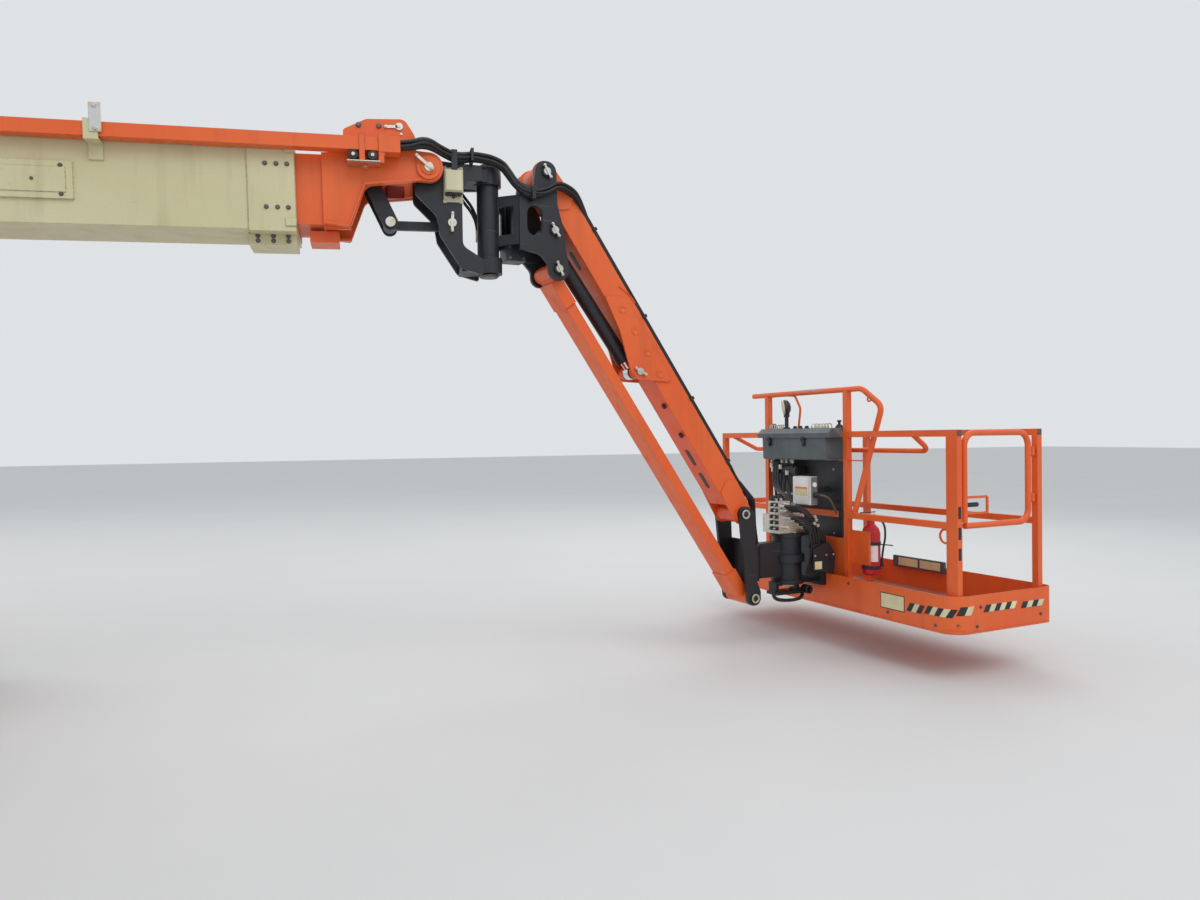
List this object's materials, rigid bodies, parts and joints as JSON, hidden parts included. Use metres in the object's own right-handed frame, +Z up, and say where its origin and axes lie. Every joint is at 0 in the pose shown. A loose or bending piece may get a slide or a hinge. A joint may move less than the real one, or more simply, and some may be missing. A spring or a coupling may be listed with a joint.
{
  "type": "articulating boom lift",
  "caption": "Self-propelled articulating boom lift: telescopic tower, telescopic upper boom, swinging parallelogram jib and a railed work platform on a steerable four-wheel chassis.",
  "frame": {"origin": "centre of the bounding box in X and Y, on the ground", "axes": "+X forward along the boom towards the platform, +Y left, +Z up"},
  "size_m": [12.4317, 3.0371, 3.165],
  "materials": {
    "orange_paint": "gloss paint",
    "cream_paint": "gloss paint",
    "black_paint": "satin paint",
    "tyre_rubber": "worn rubber",
    "cast_counterweight": "painted casting",
    "engine_iron": "bare casting",
    "chromed_rod": "polished",
    "grey_plastic": "moulded",
    "black_plastic": "moulded",
    "cream_plastic": "moulded",
    "red_paint": "gloss paint",
    "zinc_plate": "zinc plated",
    "light_box": "moulded",
    "hose_rubber": "braided cover"
  },
  "bodies": {
    "chassis": {"chassis_frame": "orange_paint", "slewing_ring": "black_paint"},
    "turntable": {"turntable_frame": "orange_paint", "counterweight": "cast_counterweight", "engine_block": "engine_iron", "ground_controls": "grey_plastic"},
    "boom_fly": {"boom_fly": "orange_paint", "hose_rail": "orange_paint"},
    "nose_upright": {"nose_upright": "black_paint", "junction_box": "cream_plastic", "nose_hoses": "hose_rubber"},
    "swing_bracket": {"swing_bracket": "black_paint", "swing_hoses": "hose_rubber"},
    "jib_upper_arm": {"jib_upper_arm": "orange_paint", "jib_hoses": "hose_rubber"},
    "platform": {"platform_support": "black_paint", "valve_manifold": "zinc_plate", "platform_floor": "orange_paint", "platform_rails": "orange_paint", "control_console": "grey_plastic", "console_pedestal": "black_plastic", "outlet_box": "light_box", "console_lamp": "black_paint", "fire_extinguisher": "red_paint", "platform_hoses": "hose_rubber"},
    "wheel_front_left": {"tyre_front_left": "tyre_rubber", "rim_front_left": "cream_paint"},
    "wheel_front_right": {"tyre_front_right": "tyre_rubber", "rim_front_right": "cream_paint"},
    "wheel_rear_left": {"tyre_rear_left": "tyre_rubber", "rim_rear_left": "cream_paint"},
    "wheel_rear_right": {"tyre_rear_right": "tyre_rubber", "rim_rear_right": "cream_paint"},
    "knuckle_front_left": {"knuckle_front_left": "black_paint"},
    "axle_beam_front_left": {"axle_beam_front_left": "orange_paint"},
    "knuckle_front_right": {"knuckle_front_right": "black_paint"},
    "axle_beam_front_right": {"axle_beam_front_right": "orange_paint"},
    "knuckle_rear_left": {"knuckle_rear_left": "black_paint"},
    "axle_beam_rear_left": {"axle_beam_rear_left": "orange_paint"},
    "knuckle_rear_right": {"knuckle_rear_right": "black_paint"},
    "axle_beam_rear_right": {"axle_beam_rear_right": "orange_paint"},
    "hood_left": {"hood_left": "orange_paint"},
    "hood_right": {"hood_right": "orange_paint"},
    "tower_base": {"tower_base": "cream_paint"},
    "tower_mid": {"tower_mid": "cream_paint"},
    "tower_fly": {"tower_fly": "cream_paint"},
    "tower_lift_barrel": {"tower_lift_barrel": "black_paint"},
    "tower_lift_rod": {"tower_lift_rod": "chromed_rod"},
    "rear_upright": {"rear_upright": "black_paint"},
    "boom_base": {"boom_base": "cream_paint"},
    "boom_mid": {"boom_mid": "cream_paint"},
    "boom_lift_barrel": {"boom_lift_barrel": "black_paint"},
    "boom_lift_rod": {"boom_lift_rod": "chromed_rod"},
    "level_lever": {"level_lever": "black_paint"},
    "level_link": {"level_link": "black_paint"},
    "jib_lower_arm": {"jib_lower_arm": "orange_paint"},
    "jib_lift_barrel": {"jib_lift_barrel": "black_paint"},
    "jib_lift_rod": {"jib_lift_rod": "chromed_rod"},
    "jib_end_bracket": {"jib_end_bracket": "black_paint"},
    "platform_gate": {"platform_gate": "orange_paint"}
  },
  "joints": [
    {"name": "turntable_slew", "type": "hinge", "parent": "chassis", "child": "turntable", "pos_m": [-2.56591, -0.27358, 1.16], "axis": [0, 0, 1], "continuous": true},
    {"name": "extend_front_left", "type": "slide", "parent": "chassis", "child": "axle_beam_front_left", "axis": [0, 1, 0], "range_m": [0, 0.66]},
    {"name": "steer_front_left", "type": "hinge", "parent": "axle_beam_front_left", "child": "knuckle_front_left", "pos_m": [-0.66091, 0.49642, 0.575], "axis": [0, 0, 1], "range_deg": [-28, 28]},
    {"name": "spin_front_left", "type": "hinge", "parent": "knuckle_front_left", "child": "wheel_front_left", "pos_m": [-0.66091, 0.74892, 0.575], "axis": [0, 1, 0], "continuous": true},
    {"name": "extend_front_right", "type": "slide", "parent": "chassis", "child": "axle_beam_front_right", "axis": [0, -1, 0], "range_m": [0, 0.66]},
    {"name": "steer_front_right", "type": "hinge", "parent": "axle_beam_front_right", "child": "knuckle_front_right", "pos_m": [-0.66091, -1.04358, 0.575], "axis": [0, 0, 1], "range_deg": [-28, 28]},
    {"name": "spin_front_right", "type": "hinge", "parent": "knuckle_front_right", "child": "wheel_front_right", "pos_m": [-0.66091, -1.29608, 0.575], "axis": [0, 1, 0], "continuous": true},
    {"name": "extend_rear_left", "type": "slide", "parent": "chassis", "child": "axle_beam_rear_left", "axis": [0, 1, 0], "range_m": [0, 0.66]},
    {"name": "steer_rear_left", "type": "hinge", "parent": "axle_beam_rear_left", "child": "knuckle_rear_left", "pos_m": [-4.47091, 0.49642, 0.575], "axis": [0, 0, 1], "range_deg": [-28, 28]},
    {"name": "spin_rear_left", "type": "hinge", "parent": "knuckle_rear_left", "child": "wheel_rear_left", "pos_m": [-4.47091, 0.74892, 0.575], "axis": [0, 1, 0], "continuous": true},
    {"name": "extend_rear_right", "type": "slide", "parent": "chassis", "child": "axle_beam_rear_right", "axis": [0, -1, 0], "range_m": [0, 0.66]},
    {"name": "steer_rear_right", "type": "hinge", "parent": "axle_beam_rear_right", "child": "knuckle_rear_right", "pos_m": [-4.47091, -1.04358, 0.575], "axis": [0, 0, 1], "range_deg": [-28, 28]},
    {"name": "spin_rear_right", "type": "hinge", "parent": "knuckle_rear_right", "child": "wheel_rear_right", "pos_m": [-4.47091, -1.29608, 0.575], "axis": [0, 1, 0], "continuous": true},
    {"name": "open_hood_left", "type": "hinge", "parent": "turntable", "child": "hood_left", "pos_m": [-3.56591, 0.00142, 2.24], "axis": [1, 0, 0], "range_deg": [0, 55]},
    {"name": "open_hood_right", "type": "hinge", "parent": "turntable", "child": "hood_right", "pos_m": [-3.56591, -0.54858, 2.24], "axis": [-1, 0, 0], "range_deg": [0, 55]},
    {"name": "tower_lift", "type": "hinge", "parent": "turntable", "child": "tower_base", "pos_m": [-0.41591, -0.27358, 1.9], "axis": [0, 1, 0], "range_deg": [0, 72]},
    {"name": "tower_telescope", "type": "slide", "parent": "tower_base", "child": "tower_mid", "axis": [-1, 0, 0], "range_m": [0, 3.6]},
    {"name": "tower_telescope_fly", "type": "slide", "parent": "tower_mid", "child": "tower_fly", "axis": [-1, 0, 0], "range_m": [0, 3.6]},
    {"name": "rear_upright_level", "type": "hinge", "parent": "tower_fly", "child": "rear_upright", "pos_m": [-5.91591, -0.27358, 1.9], "axis": [0, 1, 0], "range_deg": [-76, 0]},
    {"name": "tower_lift_barrel_pivot", "type": "hinge", "parent": "turntable", "child": "tower_lift_barrel", "pos_m": [-3.71591, -0.27358, 1.34], "axis": [0, -1, 0], "range_deg": [-4, 35.05]},
    {"name": "tower_lift_stroke", "type": "slide", "parent": "tower_lift_barrel", "child": "tower_lift_rod", "axis": [0.9988, 0, 0.0499], "range_m": [0, 0.99262]},
    {"name": "boom_lift", "type": "hinge", "parent": "rear_upright", "child": "boom_base", "pos_m": [-5.91591, -0.27358, 2.6364], "axis": [0, -1, 0], "range_deg": [0, 75]},
    {"name": "boom_telescope", "type": "slide", "parent": "boom_base", "child": "boom_mid", "axis": [0.9998, 0, 0.0175], "range_m": [0, 4.8]},
    {"name": "boom_telescope_fly", "type": "slide", "parent": "boom_mid", "child": "boom_fly", "axis": [0.9998, 0, 0.0175], "range_m": [0, 4.83]},
    {"name": "boom_lift_barrel_pivot", "type": "hinge", "parent": "rear_upright", "child": "boom_lift_barrel", "pos_m": [-5.65591, -0.27358, 2.2364], "axis": [0, -1, 0], "range_deg": [-4, 77.04]},
    {"name": "boom_lift_stroke", "type": "slide", "parent": "boom_lift_barrel", "child": "boom_lift_rod", "axis": [0.9986, 0, 0.0535], "range_m": [0, 0.60713]},
    {"name": "nose_level", "type": "hinge", "parent": "boom_fly", "child": "nose_upright", "pos_m": [2.53744, -0.27358, 2.91897], "axis": [0, -1, 0], "range_deg": [-79, 0]},
    {"name": "level_lever_turn", "type": "hinge", "parent": "boom_fly", "child": "level_lever", "pos_m": [2.20449, -0.27358, 2.91316], "axis": [0, -1, 0], "range_deg": [-79, 0]},
    {"name": "level_link_turn", "type": "hinge", "parent": "level_lever", "child": "level_link", "pos_m": [2.33449, -0.27358, 2.63816], "axis": [0, -1, 0], "range_deg": [0, 79]},
    {"name": "jib_swing", "type": "hinge", "parent": "nose_upright", "child": "swing_bracket", "pos_m": [2.88144, -0.27358, 2.91897], "axis": [0, 0, 1], "range_deg": [-73.5, 51.5]},
    {"name": "jib_lift", "type": "hinge", "parent": "swing_bracket", "child": "jib_upper_arm", "pos_m": [3.18084, -0.21538, 2.96697], "axis": [0.1908, -0.9816, 0], "range_deg": [0, 131]},
    {"name": "jib_lower_arm_turn", "type": "hinge", "parent": "swing_bracket", "child": "jib_lower_arm", "pos_m": [3.24759, -0.20241, 2.41797], "axis": [0.1908, -0.9816, 0], "range_deg": [0, 135]},
    {"name": "jib_end_level", "type": "hinge", "parent": "jib_upper_arm", "child": "jib_end_bracket", "pos_m": [4.50631, 0.04226, 0.93465], "axis": [0.1908, -0.9816, 0], "range_deg": [-135, 0]},
    {"name": "jib_lift_barrel_pivot", "type": "hinge", "parent": "swing_bracket", "child": "jib_lift_barrel", "pos_m": [3.22501, -0.2068, 2.63697], "axis": [0.1908, -0.9816, 0], "range_deg": [-4, 133.75]},
    {"name": "jib_lift_stroke", "type": "slide", "parent": "jib_lift_barrel", "child": "jib_lift_rod", "axis": [0.5706, 0.1109, -0.8137], "range_m": [0, 0.63552]},
    {"name": "platform_rotate", "type": "hinge", "parent": "jib_end_bracket", "child": "platform", "pos_m": [4.94313, 0.12717, 0.93465], "axis": [0, 0, 1], "range_deg": [-90, 90]},
    {"name": "gate_open", "type": "hinge", "parent": "platform", "child": "platform_gate", "pos_m": [6.09696, -0.84044, 1.17965], "axis": [0, 0, -1], "range_deg": [0, 85]}
  ],
  "couplings": [
    {"joint": "extend_front_right", "follows": "extend_front_left", "ratio": 1},
    {"joint": "steer_front_right", "follows": "steer_front_left", "ratio": 1},
    {"joint": "extend_rear_left", "follows": "extend_front_left", "ratio": 1},
    {"joint": "steer_rear_left", "follows": "steer_front_left", "ratio": -1},
    {"joint": "extend_rear_right", "follows": "extend_front_left", "ratio": 1},
    {"joint": "steer_rear_right", "follows": "steer_front_left", "ratio": -1},
    {"joint": "tower_telescope", "follows": "tower_lift", "m_per_rad": 2.7056},
    {"joint": "tower_telescope_fly", "follows": "tower_lift", "m_per_rad": 2.7056},
    {"joint": "rear_upright_level", "follows": "tower_lift", "ratio": -1},
    {"joint": "tower_lift_barrel_pivot", "follows": "tower_lift", "ratio": 0.43122},
    {"joint": "tower_lift_stroke", "follows": "tower_lift", "m_per_rad": 0.76603},
    {"joint": "boom_telescope_fly", "follows": "boom_telescope", "ratio": 1},
    {"joint": "boom_lift_barrel_pivot", "follows": "boom_lift", "ratio": 0.97381},
    {"joint": "boom_lift_stroke", "follows": "boom_lift", "m_per_rad": 0.44089},
    {"joint": "nose_level", "follows": "boom_lift", "ratio": -1},
    {"joint": "level_lever_turn", "follows": "boom_lift", "ratio": -1},
    {"joint": "level_link_turn", "follows": "boom_lift", "ratio": 1},
    {"joint": "jib_lower_arm_turn", "follows": "jib_lift", "ratio": 1},
    {"joint": "jib_end_level", "follows": "jib_lift", "ratio": -1},
    {"joint": "jib_lift_barrel_pivot", "follows": "jib_lift", "ratio": 0.99043},
    {"joint": "jib_lift_stroke", "follows": "jib_lift", "m_per_rad": 0.26484}
  ]
}
